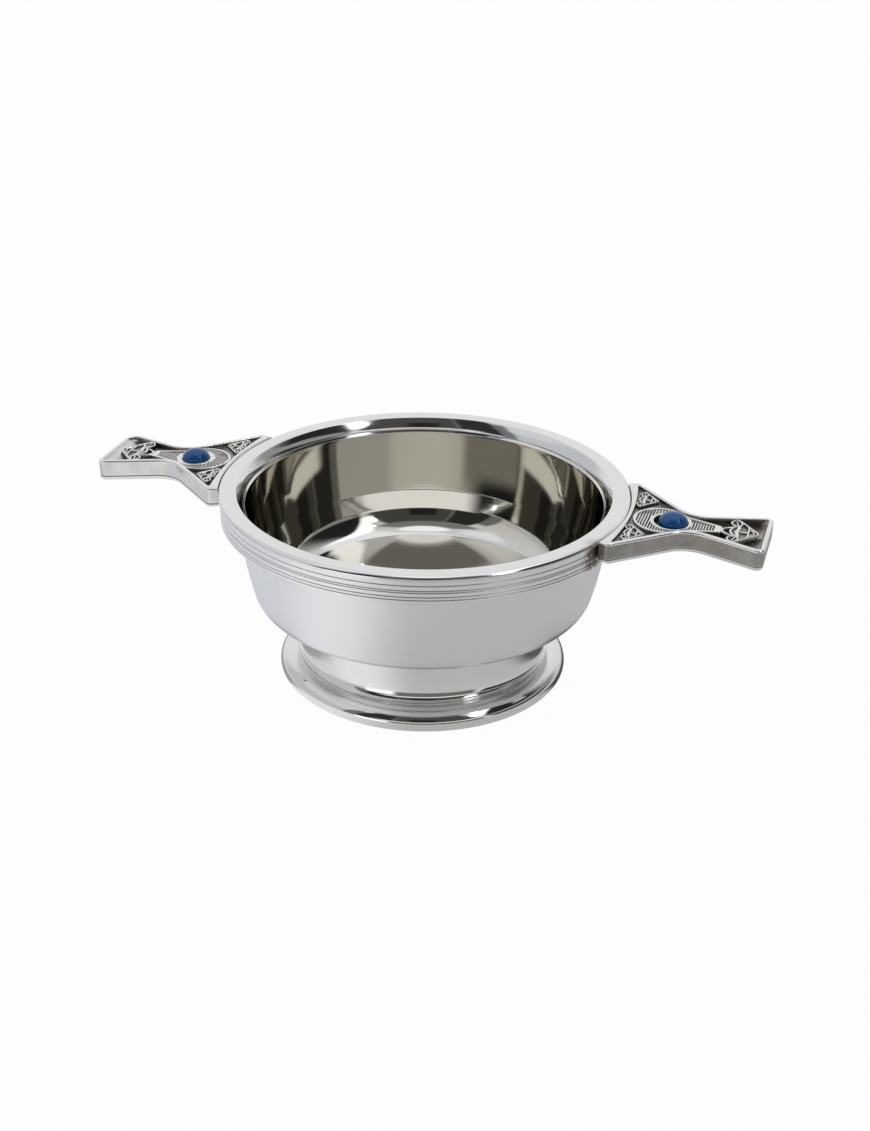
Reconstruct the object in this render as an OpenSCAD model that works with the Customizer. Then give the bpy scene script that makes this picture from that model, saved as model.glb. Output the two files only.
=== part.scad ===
// Footed two-handled drinking bowl (quaich): a turned bowl with a heavy rim mount and a reeded band,
// a spun foot on a moulded base ring, and two cast lugs that each carry a domed stone.
// The origin is the centre of the foot on the table, +Z is up and the lugs lie along X.

/* [Bowl] */
// Outer diameter of the bowl at its top edge
bowl_d = 90.3; // [80:0.1:110]
// Outer depth of the bowl, from its top edge to its lowest point
bowl_depth = 30.2; // [26:0.1:40]
// Wall thickness of the bowl at its top edge
bowl_wall = 1.5; // [1:0.1:2]
// Thickness of the bowl's floor in the middle
floor_t = 1.1; // [1:0.1:2]
// Height of the bowl's lowest point above the table
bowl_lift = 15; // [12:0.1:22]
// Inward lean of the side where it meets the turn, in degrees
side_lean = 15.6; // [8:0.1:24]
// Outer radius of the turn between side and underside
turn_r = 5.75; // [4:0.05:9]
// Rise of the underside where it meets the turn, in degrees
under_rise = 12.4; // [11:0.1:14]
// Inward lean of the inside at the top edge, in degrees
inside_top_lean = 8.2; // [5:0.1:9]
// Inward lean of the inside where it meets its turn, in degrees
inside_lean = 20.8; // [17:0.1:23]
// Radius of the inside's turn between side and floor
inside_turn_r = 9.5; // [7:0.1:11.5]
// Rise of the floor where it meets the inside's turn, in degrees
floor_rise = 13; // [11:0.1:15]

/* [Rim lip] */
// Distance that the lip stands out from the bowl's wall
rim_proud = 4.85; // [4:0.05:7]
// Height of the lip above the bowl's edge
lip_h = 3.4; // [3:0.1:6]
// Thickness of the lip's outer edge, which is fully rounded above
lip_edge = 1; // [0.6:0.1:1.6]
// Width of the lip's inner leg, which stands on the bowl's edge
lip_leg = 1.9; // [1.2:0.1:2.4]
// Rounding of the lip's inner top edge
lip_inner_round = 1.9; // [1:0.1:2.6]
// Width of the bowl's edge left bare inside the lip
bowl_ledge = 0.9; // [0.3:0.1:0.9]
// Clearance between the lip's leg and the band
lip_clear = 0.1; // [0.05:0.05:0.2]

/* [Reeded band] */
// Height of the band
band_h = 6; // [4.5:0.1:9]
// Overhang of the lip over the band
lip_overhang = 0.45; // [0.2:0.05:0.8]
// Rounding of the band's lower edge
band_round = 0.6; // [0.3:0.1:1]
// Heights of the reeds, from the lip down
reed_heights = [1.35, 1.2, 0.5, 1.05, 0.75];
// Width of the groove between two reeds
reed_groove_w = 0.3; // [0.2:0.02:0.44]
// Depth of the groove between two reeds
reed_groove_d = 0.15; // [0.1:0.05:0.4]
// Thickness of the solder between the band and the bowl
band_solder_t = 0.4; // [0.3:0.05:0.6]

/* [Foot] */
// Diameter of the base ring
foot_d = 71.9; // [64:0.1:80]
// Height of the base ring
base_h = 5.3; // [4:0.1:8]
// Radial width of the base ring
base_w = 7; // [6:0.1:9]
// Distance that the base ring's moulding stands out from the foot's flange
base_proud = 4.75; // [3.5:0.05:5.5]
// Height of the base ring's widest point, which is also its lower rounding
base_edge = 2; // [0.6:0.1:2.6]
// Bare ledge on the base ring outside the flange
base_ledge = 0.35; // [0.2:0.05:0.8]
// Thickness of the foot's flange
flange_t = 0.8; // [0.6:0.1:1.4]
// Width of the flange's seat on the base ring
flange_seat = 2; // [1.5:0.1:2]
// Width of the cove, from the flange's edge in to the neck
cove_w = 1.9; // [1.5:0.1:4]
// Wall thickness of the foot at the neck
foot_wall = 1.6; // [1:0.1:2.4]
// Straight height of the neck above the cove
neck_h = 0.6; // [0.4:0.1:2]
// Thickness of the solder between the foot and the bowl
foot_solder_t = 0.3; // [0.2:0.05:0.5]

/* [Lugs] */
// Length of a lug, from its root to its tip
lug_len = 33.2; // [28:0.1:45]
// Thickness of a lug
lug_t = 5.3; // [4:0.1:6]
// Drop of the lug's face below the rim at the root
lug_drop = 0; // [0:0.05:1]
// Droop of a lug towards its tip, in degrees
lug_droop = 1.4; // [0:0.05:4]
// Width of a lug at its root, across its two ends beside the rim
lug_root_w = 35.4; // [30:0.1:44]
// Length of a root end, which points away from the bowl's axis, before the flank runs in
lug_heel = 2.65; // [2:0.05:5]
// Distance from the root to where the two flanks would meet
waist_at = 14.9; // [12:0.1:18]
// Width of the lug where the two flanks would meet
waist_w = 8.3; // [6:0.1:12]
// Radius of the hollow between the two flanks
waist_r = 7.5; // [4:0.1:10]
// Width of a lug at its tip
lug_tip_w = 20.4; // [14:0.1:24]
// Rounding of the corners at the root
heel_round = 1.5; // [0.5:0.1:1.8]
// Rounding of the corners at the tip
tip_round = 1.6; // [0.5:0.1:2.5]
// Rounding of the left lug's rear corner at the tip, which is filed rounder
rear_round = 3; // [0.5:0.1:4]
// Gap between the rim and the lug's root
lug_gap = 0.1; // [0.05:0.05:0.3]
// Distance that the solder stays back from the lug's edges
solder_inset = 0.5; // [0.3:0.1:1]

/* [Lug face] */
// Width of the raised border along the flanks and the tip
border_w = 1.1; // [0.7:0.1:1.6]
// Width of the raised border along the root, in the middle
root_border = 0.9; // [0.7:0.1:1]
// Radius of the root border's inner edge, which is flatter than the rim
root_border_r = 90; // [60:1:140]
// Depth of the sunk field inside the border, at the root
field_depth = 0.9; // [0.6:0.1:1.5]
// Slope of the field's floor, which deepens towards the tip, in degrees
field_slope = 1.5; // [0:0.1:3]
// Rounding of the field's corners
field_round = 0.6; // [0.3:0.1:1]
// Diameter of the raised disc round the stone
disc_d = 13.7; // [12:0.1:14.4]
// Distance from the root to the centre of the disc
disc_at = 8.2; // [8.2:0.1:9.5]
// Width of the stem where it leaves the disc
stem_root_w = 8.4; // [6:0.1:9]
// Width of the stem at its end
stem_tip_w = 3.4; // [2:0.1:5]
// Distance from the root to the end of the stem
stem_end = 21.4; // [18:0.1:24]
// Drop of the disc and its stem below the border
panel_drop = 0.4; // [0.1:0.05:0.6]

/* [Stones] */
// Diameter of a stone
stone_d = 6.8; // [5:0.1:7.2]
// Height of the stone's dome above the disc
stone_dome = 2.3; // [1.5:0.1:3.5]
// Depth of the stone's straight girdle below the disc
stone_girdle = 1.2; // [0.8:0.1:1.8]
// Distance from the root to the centre of the stone's seat
seat_at = 10.3; // [9.5:0.1:10.6]
// Gap round a stone that lies in the middle of its seat
seat_gap = 0.65; // [0.3:0.05:0.8]
// Gap left where the right stone lies against the outer side of its seat
seat_touch = 0.1; // [0.05:0.05:0.2]
// Thickness of the cement under a stone
cement_t = 0.4; // [0.2:0.05:0.7]

/* [Hidden] */
$fn = 96;
ARC_STEPS = 12;
// Clearance between a joint's filler and the curved wall beside it
JOINT_CLEAR = 0.05;
// Overshoot of a cut past the face that it opens
CUT = 1;

PEWTER = [0.78, 0.78, 0.80];
POLISHED = [0.72, 0.72, 0.70];
ANTIQUED = [0.55, 0.54, 0.52];
SOLDER = [0.38, 0.34, 0.30];
STONE = [0.12, 0.31, 0.56];
CEMENT = [0.12, 0.11, 0.11];

// Heights and radii shared by the pieces
bowl_r = bowl_d / 2;
edge_z = bowl_lift + bowl_depth;
rim_z = edge_z + lip_h;
rim_r = bowl_r + rim_proud;
lip_under_z = rim_z - lip_edge;
lip_inner_r = bowl_r - bowl_wall + bowl_ledge;
lip_leg_r = lip_inner_r + lip_leg;
band_r = rim_r - lip_overhang;
band_inner_r = bowl_r + band_solder_t;
band_z = lip_under_z - band_h;
foot_r = foot_d / 2;
flange_r = foot_r - base_proud;
neck_r = flange_r - cove_w;
lug_root_r = rim_r + lug_gap;
lug_z = rim_z - lug_drop;
seat_r = stone_d / 2 + seat_gap;
seat_z = -panel_drop - stone_girdle - cement_t;
right_stone_shift = seat_gap - seat_touch;

// The bowl's outline is three arcs that run into each other: side, turn and underside.
// The side is upright at the edge and the underside is level on the axis, which sets their radii.
turn_h = turn_r * (cos(under_rise) - sin(side_lean));
turn_w = turn_r * (cos(side_lean) - sin(under_rise));
side_in = tan(side_lean / 2);
under_up = tan(under_rise / 2);
side_h = (bowl_depth - turn_h - (bowl_r - turn_w) * under_up) / (1 - side_in * under_up);
side_r = side_h / sin(side_lean);
side_c = [bowl_r - side_r, edge_z];
turn_c = side_c + (side_r - turn_r) * [cos(side_lean), -sin(side_lean)];
under_r = (turn_c.x + turn_r * sin(under_rise)) / sin(under_rise);
under_c = [0, bowl_lift + under_r];

// The inside is three arcs too, so that the bowl is thickest round its turn.
// Its side leans from the top edge on and its floor is level on the axis.
inside_r = bowl_r - bowl_wall;
floor_z = bowl_lift + floor_t;
floor_up = tan(floor_rise / 2);
inside_turn_h = inside_turn_r * (cos(floor_rise) - sin(inside_lean));
inside_turn_w = inside_turn_r * (cos(inside_lean) - sin(floor_rise));
inside_h = edge_z - floor_z - inside_turn_h - (inside_r - inside_turn_w) * floor_up;
inside_bend = sin(inside_lean) - sin(inside_top_lean);
inside_draw = cos(inside_top_lean) - cos(inside_lean);
inside_side_r = inside_h / (inside_bend - inside_draw * floor_up);
inside_c = [inside_r, edge_z] + inside_side_r * [-cos(inside_top_lean), sin(inside_top_lean)];
inside_turn_c = inside_c + (inside_side_r - inside_turn_r) * [cos(inside_lean), -sin(inside_lean)];
floor_r = (inside_turn_c.x + inside_turn_r * sin(floor_rise)) / sin(floor_rise);
floor_c = [0, floor_z + floor_r];

// Points along part of an ellipse, from angle a0 to angle a1
function arc(c, rx, ry, a0, a1) =
    [for (i = [0:ARC_STEPS]) let (a = a0 + (a1 - a0) * i / ARC_STEPS) c + [rx * cos(a), ry * sin(a)]];

// A list without its first point
function rest(pts) = [for (i = [1:len(pts) - 1]) pts[i]];

// A list from its last point to its first
function reversed(pts) = [for (i = [len(pts) - 1:-1:0]) pts[i]];

// A list with its mirror image across the X axis, as one closed outline
function with_mirror(pts) = concat(pts, [for (p = reversed(pts)) [p.x, -p.y]]);

// A vector of length one
function unit(v) = v / norm(v);

// Three arcs that run into each other, from the bowl's edge down to its axis
function three_arcs(c1, r1, c2, r2, c3, r3, top_lean, lean, rise) = concat(
    arc(c1, r1, r1, -top_lean, -lean),
    rest(arc(c2, r2, r2, -lean, rise - 90)),
    rest(arc(c3, r3, r3, rise - 90, -90)));

// Height of the bowl's underside at a radius
function under_z(r) = under_c.y - sqrt(under_r * under_r - r * r);

// A corner q between points p and s, rounded by an arc tangent to both sides
function rounded_corner(p, q, s, r) =
    let (a = unit(p - q), b = unit(s - q), half = acos(a * b) / 2, c = q + unit(a + b) * r / sin(half),
         from = q + a * r / tan(half) - c, to = q + b * r / tan(half) - c,
         a0 = atan2(from.y, from.x), turn = atan2(to.y, to.x) - a0,
         sweep = turn > 180 ? turn - 360 : turn < -180 ? turn + 360 : turn)
    arc(c, r, r, a0, a0 + sweep);

// A closed outline with each corner rounded by its own radius
function rounded(pts, radii) = let (n = len(pts)) [
    for (i = [0:n - 1])
        each radii[i] > 0
            ? rounded_corner(pts[(i + n - 1) % n], pts[i], pts[(i + 1) % n], radii[i])
            : [pts[i]]];

// A clockwise outline moved inwards by a distance
function moved_in(pts, d) = let (n = len(pts)) [
    for (i = [0:n - 1])
        let (e = unit(pts[i] - pts[(i + n - 1) % n]), f = unit(pts[(i + 1) % n] - pts[i]),
             ne = [e.y, -e.x], nf = [f.y, -f.x])
        pts[i] + d * (ne + nf) / (1 + ne * nf)];

// Outline of a lug from above: X runs from the root to the tip
root_end = [sqrt(lug_root_r * lug_root_r - lug_root_w * lug_root_w / 4), lug_root_w / 2] / lug_root_r;
lug_corners = with_mirror([
    root_end * (lug_root_r - CUT) - [lug_root_r, 0],
    root_end * (lug_root_r + lug_heel) - [lug_root_r, 0],
    [waist_at, waist_w / 2],
    [lug_len, lug_tip_w / 2]]);

// Roundings of the lug's corners and of its field's corners, in the order of the outline
function lug_radii(side) = [0, heel_round, waist_r, tip_round,
                           side == "left" ? rear_round : tip_round, waist_r, heel_round, 0];
function field_radii(side) = [0, field_round, waist_r + border_w, field_round,
                             side == "left" ? max(rear_round - border_w, field_round) : field_round,
                             waist_r + border_w, field_round, 0];

// Depths of the grooves' centres below the lip, kept clear of the band's rounded lower edge
groove_depths = [
    for (i = [0:len(reed_heights) - 1])
        let (d = [for (k = [0:i]) reed_heights[k]] * [for (k = [0:i]) 1])
        if (d < band_h - band_round - reed_groove_w) d];

// A ring turned about the Z axis from a section in radius and height
module ring(section) {
    rotate_extrude() polygon(section);
}

// The turned bowl: its outside, then its inside back up to the edge
module bowl() {
    outside = three_arcs(side_c, side_r, turn_c, turn_r, under_c, under_r, 0, side_lean, under_rise);
    inside = three_arcs(inside_c, inside_side_r, inside_turn_c, inside_turn_r, floor_c, floor_r,
                        inside_top_lean, inside_lean, floor_rise);
    color(PEWTER) ring(concat(outside, reversed(inside)));
}

// The rim lip: a rounded ring that stands on the bowl's edge and hangs over the band
module rim_lip() {
    color(PEWTER) ring(concat(
        [[lip_inner_r, edge_z], [lip_leg_r, edge_z], [lip_leg_r, lip_under_z]],
        arc([rim_r - lip_edge, lip_under_z], lip_edge, lip_edge, 0, 90),
        arc([lip_inner_r + lip_inner_round, rim_z - lip_inner_round],
            lip_inner_round, lip_inner_round, 90, 180)));
}

// The band under the lip, turned with fine reeds
module reeded_band() {
    rabbet_r = lip_leg_r + lip_clear;
    rabbet_z = edge_z - lip_clear;
    grooves = [
        for (d = reversed(groove_depths))
            let (z = lip_under_z - d)
            each [[band_r, z - reed_groove_w / 2], [band_r - reed_groove_d, z],
                  [band_r, z + reed_groove_w / 2]]];
    color(PEWTER) ring(concat(
        [[band_inner_r, band_z]],
        arc([band_r - band_round, band_z + band_round], band_round, band_round, -90, 0),
        grooves,
        [[band_r, lip_under_z], [rabbet_r, lip_under_z], [rabbet_r, rabbet_z], [band_inner_r, rabbet_z]]));
}

// Solder that fills the gap between the band and the bowl
module rim_solder() {
    low_z = band_z + band_round;
    top_z = edge_z - lip_clear;
    inner_r = bowl_r + JOINT_CLEAR;
    color(SOLDER) ring([[inner_r, low_z], [band_inner_r, low_z], [band_inner_r, top_z], [inner_r, top_z]]);
}

// The spun foot: a flange, a cove and a neck cut to the bowl's underside
module foot() {
    neck_in_r = neck_r - foot_wall;
    neck_top = under_z(neck_r) - foot_solder_t;
    neck_in_top = under_z(neck_in_r) - foot_solder_t;
    cove_z = neck_in_top - neck_h;
    cove_h = cove_z - base_h;
    seat_in_r = flange_r - flange_seat;
    color(POLISHED) ring(concat(
        [[neck_r, neck_top]],
        arc([flange_r, cove_z], cove_w, cove_h - flange_t, 180, 270),
        [[flange_r, base_h]],
        arc([seat_in_r, cove_z], seat_in_r - neck_in_r, cove_h, 270, 180),
        [[neck_in_r, neck_in_top]]));
}

// The moulded base ring that the foot stands on
module base_ring() {
    moulding_r = flange_r + base_ledge;
    inner_r = foot_r - base_w;
    color(POLISHED) ring(concat(
        [[inner_r, 0]],
        arc([foot_r - base_edge, base_edge], base_edge, base_edge, -90, 0),
        rest(arc([moulding_r, base_edge], foot_r - moulding_r, base_h - base_edge, 0, 90)),
        [[inner_r, base_h]]));
}

// Solder between the foot's neck and the bowl's underside
module foot_solder() {
    neck_in_r = neck_r - foot_wall;
    low = [for (r = [neck_in_r, neck_r]) [r, under_z(r) - foot_solder_t]];
    high = [for (r = [neck_r, neck_in_r]) [r, under_z(r) - JOINT_CLEAR]];
    color(SOLDER) ring(concat(low, high));
}

// The right lug's own frame: its root on the X axis, its face up; the left lug's is turned half round
module on_lug(side) {
    rotate([0, 0, side == "left" ? 180 : 0])
        translate([lug_root_r, 0, lug_z])
            rotate([0, lug_droop, 0])
                children();
}

// Plan of the raised panel round the stone: a disc with a tapering stem
module panel_plan() {
    stem_start = disc_at + sqrt(disc_d * disc_d - stem_root_w * stem_root_w) / 2;
    translate([disc_at, 0]) circle(d = disc_d);
    polygon(with_mirror([
        [disc_at, stem_root_w / 2],
        [stem_start, stem_root_w / 2],
        [stem_end, stem_tip_w / 2]]));
}

// Plan of the face inside the border
module inner_plan(side) {
    difference() {
        polygon(rounded(moved_in(lug_corners, border_w), field_radii(side)));
        translate([root_border - root_border_r, 0]) circle(r = root_border_r);
    }
}

// The sunk field: inside the border and outside the panel, down to a sloping floor
module field(side) {
    intersection() {
        translate([0, 0, -lug_t]) linear_extrude(lug_t + CUT) difference() {
            inner_plan(side);
            panel_plan();
        }
        translate([0, 0, -field_depth]) rotate([0, field_slope, 0]) translate([-lug_len, -lug_len, 0])
            cube([3 * lug_len, 2 * lug_len, lug_t + CUT]);
    }
}

// A cast lug: its root is hollowed to the rim, its face is sunk and a seat is bored for the stone
module lug(side) {
    color(ANTIQUED) difference() {
        on_lug(side) difference() {
            translate([0, 0, -lug_t]) linear_extrude(lug_t) polygon(rounded(lug_corners, lug_radii(side)));
            translate([0, 0, -panel_drop]) linear_extrude(panel_drop + CUT) inner_plan(side);
            field(side);
            translate([seat_at, 0, seat_z]) cylinder(r = seat_r, h = CUT - seat_z);
        }
        cylinder(r = lug_root_r, h = rim_z + CUT);
    }
}

// Solder between the band and a lug's root
module lug_solder(side) {
    low_z = max(lug_z - lug_t, band_z + band_round) + solder_inset;
    top_z = min(lug_z, lip_under_z) - solder_inset;
    width = lug_root_w - 2 * heel_round - 2 * solder_inset;
    color(SOLDER) rotate([0, 0, side == "left" ? 180 : 0]) intersection() {
        translate([0, 0, low_z]) difference() {
            cylinder(r = lug_root_r, h = top_z - low_z);
            translate([0, 0, -CUT]) cylinder(r = band_r, h = top_z - low_z + 2 * CUT);
        }
        translate([0, -width / 2, 0]) cube([lug_root_r + CUT, width, rim_z]);
    }
}

// Cement in the bottom of a stone's seat
module cement(side) {
    color(CEMENT) on_lug(side) translate([seat_at, 0, seat_z])
        cylinder(r = seat_r - JOINT_CLEAR, h = cement_t);
}

// A domed stone with a straight girdle
module stone(side) {
    r = stone_d / 2;
    shift = side == "right" ? right_stone_shift : 0;
    color(STONE) on_lug(side) translate([seat_at + shift, 0, -panel_drop])
        ring(concat([[0, -stone_girdle], [r, -stone_girdle]], arc([0, 0], r, stone_dome, 0, 90)));
}

bowl();
rim_lip();
reeded_band();
rim_solder();
foot();
base_ring();
foot_solder();
lug("left");  // lug_left
lug("right");  // lug_right
lug_solder("left");  // lug_solder_left
lug_solder("right");  // lug_solder_right
cement("left");  // cement_left
cement("right");  // cement_right
stone("left");  // stone_left
stone("right");  // stone_right
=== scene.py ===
import math

import bpy
import numpy as np
from mathutils import Matrix, Vector


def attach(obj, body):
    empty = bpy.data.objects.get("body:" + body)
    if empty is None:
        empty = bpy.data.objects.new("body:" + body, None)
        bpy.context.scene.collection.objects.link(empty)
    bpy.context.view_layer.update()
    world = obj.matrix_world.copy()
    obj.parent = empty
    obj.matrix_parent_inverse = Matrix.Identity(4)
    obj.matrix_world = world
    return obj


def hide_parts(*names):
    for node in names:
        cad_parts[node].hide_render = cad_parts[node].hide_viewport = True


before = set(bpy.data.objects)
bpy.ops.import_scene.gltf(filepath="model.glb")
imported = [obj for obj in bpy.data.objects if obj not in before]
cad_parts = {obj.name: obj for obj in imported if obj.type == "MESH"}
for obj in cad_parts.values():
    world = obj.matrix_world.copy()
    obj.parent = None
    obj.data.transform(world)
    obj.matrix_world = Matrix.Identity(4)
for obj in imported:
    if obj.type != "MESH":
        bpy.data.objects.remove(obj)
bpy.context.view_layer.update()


# The bowl: cast in pewter and turned, so that its wall is thickest round the turn into the floor.
# The inside is polished to a mirror, and the outside is left with a fine satin.
# Faint rings from the lathe and the polishing mop run round both faces.
MM, TURNS = 0.001, 360
BOWL_EDGE_R, BOWL_EDGE_Z, BOWL_BOTTOM_Z, BOWL_WALL, BOWL_EDGE_ROUND = 45.15, 45.2, 15.0, 1.5, 0.1
SIDE_LEAN, TURN_R, UNDER_RISE = 15.6, 5.75, 12.4
INSIDE_LEANS, INSIDE_RUNS, INSIDE_DROP = (8.0, 17.0, 20.8, 21.2, 77.0), (15.25, 0.7, 4.4, 9.25), 0.2
# Heights in metres where the wall's painted reflection tone gives way to the floor's neutral mirror
WARM_ABOVE, NEUTRAL_BELOW = 0.0232, 0.0205


def arc(centre, rx, rz, start, end, steps):
    """Part of an ellipse: centre + (rx cos a, rz sin a), with a from start to end in degrees."""
    a = np.radians(np.linspace(start, end, steps))
    return np.column_stack([centre[0] + rx * np.cos(a), centre[1] + rz * np.sin(a)])


def three_arcs(edge_r, edge_z, low_z, lean, turn_r, rise):
    """A face of the bowl from its axis up to its edge, as three arcs that run into each other.

    The side is upright at the edge and leans in by lean at the turn. The lowest arc is level on the
    axis and rises by rise at the turn. The side's radius makes the three heights add up to the depth.
    Returns the points and the lowest arc's radius.
    """
    low, up = np.radians([lean, rise])
    slope = np.tan(up / 2)
    turn_h = turn_r * (np.cos(up) - np.sin(low))
    turn_w = turn_r * (np.cos(low) - np.sin(up))
    height = edge_z - low_z - turn_h - (edge_r - turn_w) * slope
    side_r = height / (np.sin(low) - (1 - np.cos(low)) * slope)
    side_c = np.array([edge_r - side_r, edge_z])
    turn_c = side_c + (side_r - turn_r) * np.array([np.cos(low), -np.sin(low)])
    lowest_r = turn_c[0] / np.sin(up) + turn_r
    lowest = arc((0, low_z + lowest_r), lowest_r, lowest_r, -90, rise - 90, 30)
    turn = arc(turn_c, turn_r, turn_r, rise - 90, -lean, 40)
    side = arc(side_c, side_r, side_r, -lean, 0, 40)
    line = np.concatenate([lowest, turn[1:], side[1:]])
    line[0, 0] = 0
    return line, lowest_r


def bent_line(leans, runs, steps):
    """A section line that starts at (0, 0) and goes down in runs.

    Each run bends evenly from one lean to the next, in a number of steps. A step ds at lean a goes in
    by ds sin a and down by ds cos a.
    """
    leans = np.asarray(leans, float)
    a = np.radians(leans[:-1, None] + np.diff(leans)[:, None] * (np.arange(steps) + 0.5) / steps)
    ds = np.asarray(runs)[:, None] / steps
    line = np.column_stack([np.cumsum(np.sin(a) * ds), np.cumsum(np.cos(a) * ds)])
    return -np.concatenate([[[0, 0]], line])


def skin(grid, poles):
    """Faces over a grid of points that closes on itself along its first axis.

    Along its second axis the grid closes too, or with poles its first and last rows each draw
    together into one point. Returns the points, the four-sided faces and the three-sided faces.
    """
    turns, rows = grid.shape[:2]
    i = np.arange(turns)[:, None]
    if not poles:
        j = np.arange(rows)[None]
        at = lambda a, b: ((i + a) % turns) * rows + (j + b) % rows
        quads = np.stack([at(0, 0), at(1, 0), at(1, 1), at(0, 1)], axis=2).reshape(-1, 4)
        return grid.reshape(-1, 3), quads, np.zeros((0, 3), int)
    inner = rows - 2
    points = np.concatenate([grid[:1, 0], grid[:, 1:-1].reshape(-1, 3), grid[:1, -1]])
    j = np.arange(inner - 1)[None]
    at = lambda a, b: 1 + ((i + a) % turns) * inner + b
    quads = np.stack([at(0, j), at(1, j), at(1, j + 1), at(0, j + 1)], axis=2).reshape(-1, 4)
    first = np.column_stack([0 * i, at(1, 0), at(0, 0)])
    last = np.column_stack([0 * i + len(points) - 1, at(0, inner - 1), at(1, inner - 1)])
    return points, quads, np.concatenate([first, last])


def marks_on(values, turns, poles):
    """A value for each row of a grid, or for each of its points, in the order that skin takes them."""
    values = np.broadcast_to(np.asarray(values, float), (turns, np.shape(values)[-1]))
    if not poles:
        return values.ravel()
    return np.concatenate([values[0, :1], values[:, 1:-1].ravel(), values[0, -1:]])


def add_piece(name, points, quads, tris, slot, nodes, marks):
    """Puts points in millimetres and their faces into a smooth mesh that rides on the body.

    The piece stands in for the named CAD nodes, and marks are values that its points carry.
    """
    mesh = bpy.data.meshes.new(name)
    mesh.from_pydata((points * MM).tolist(), [], quads.tolist() + tris.tolist())
    mesh.polygons.foreach_set("use_smooth", np.ones(len(mesh.polygons), bool))
    for key, values in marks.items():
        mesh.attributes.new(key, "FLOAT", "POINT").data.foreach_set("value", values.astype(np.float32))
    mesh.validate()
    made = bpy.data.objects.new(name, mesh)
    bpy.context.scene.collection.objects.link(made)
    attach(made, "root")
    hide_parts(*nodes)
    return made


def turned(section, poles, turns=TURNS):
    """A section carried round the Z axis: (r, z) at turn t becomes (r cos t, r sin t, z)."""
    t = np.linspace(0, 2 * np.pi, turns, endpoint=False)[:, None]
    r, z = section.T
    grid = np.stack([np.cos(t) * r, np.sin(t) * r, 0 * t + z], axis=2)
    return skin(grid, poles)


class Wire:
    """A socket of a node tree. Sums on wires add Math nodes, and node() adds any other node."""

    def __init__(self, tree, socket=None):
        self.tree, self.socket = tree, socket

    def node(self, kind, settings, sockets, out=0):
        """Adds a node: first its settings, then the values or links of its sockets."""
        made = self.tree.nodes.new(kind)
        for key, value in settings.items():
            setattr(made, key, value)
        for key, value in sockets.items():
            if isinstance(value, Wire):
                self.tree.links.new(value.socket, made.inputs[key])
            else:
                made.inputs[key].default_value = value
        return Wire(self.tree, made.outputs[out])

    def math(self, operation, *values):
        return self.node("ShaderNodeMath", {"operation": operation}, dict(enumerate(values)))

    def __add__(self, other):
        return self.math("ADD", self, other)

    def __radd__(self, other):
        return self.math("ADD", other, self)

    def __sub__(self, other):
        return self.math("SUBTRACT", self, other)

    def __rsub__(self, other):
        return self.math("SUBTRACT", other, self)

    def __mul__(self, other):
        return self.math("MULTIPLY", self, other)

    def __rmul__(self, other):
        return self.math("MULTIPLY", other, self)

    def __truediv__(self, other):
        return self.math("DIVIDE", self, other)

    def ease(self, low, high):
        """0 up to low, 1 from high, and a smooth step between them."""
        return self.node("ShaderNodeMapRange", {"interpolation_type": "SMOOTHSTEP"},
                         {0: self, 1: low, 2: high, 3: 0.0, 4: 1.0})

    def between(self, first, second):
        """The first colour where this wire is 0 and the second where it is 1."""
        return self.node("ShaderNodeMix", {"data_type": "RGBA"}, {0: self, 6: first, 7: second}, 2)


def colour(red, green, blue):
    """A colour that covers fully."""
    return (red, green, blue, 1.0)


def new_finish(name):
    """An empty material: its tree as a wire, its Principled shader and its Object coordinates."""
    made = bpy.data.materials.new(name)
    made.use_nodes = True
    shader = made.node_tree.nodes["Principled BSDF"]
    wire = Wire(made.node_tree)
    place = wire.node("ShaderNodeTexCoord", {}, {}, "Object")
    return made, wire, shader, place


def feed(shader, **sockets):
    """Links wires to the shader's sockets by name, and sets plain values on them."""
    for key, value in sockets.items():
        socket = shader.inputs[key.replace("_", " ")]
        if isinstance(value, Wire):
            value.tree.links.new(value.socket, socket)
        else:
            socket.default_value = value


def mark(wire, name):
    """A value that the mesh carries on its points."""
    return wire.node("ShaderNodeAttribute", {"attribute_name": name}, {}, "Fac")


def ring_place(wire, place, scale):
    """Object coordinates as (radius, height, 0) times a scale, so that noise on it makes rings."""
    x, y, z = (wire.node("ShaderNodeSeparateXYZ", {}, {0: place}, k) for k in range(3))
    radius = wire.math("SQRT", x * x + y * y)
    return wire.node("ShaderNodeCombineXYZ", {}, {0: radius * scale, 1: z * scale, 2: 0.0})


def noise(wire, place, scale, detail=2.0, roughness=0.5):
    """Cloudy values from 0 to 1, which get finer as the scale grows."""
    return wire.node("ShaderNodeTexNoise", {}, {"Vector": place, "Scale": scale, "Detail": detail,
                                                "Roughness": roughness})


def bump(wire, height, distance, strength):
    """A normal that tilts as if the surface rose by height times distance, in metres."""
    return wire.node("ShaderNodeBump", {}, {"Height": height, "Distance": distance, "Strength": strength})


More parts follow.
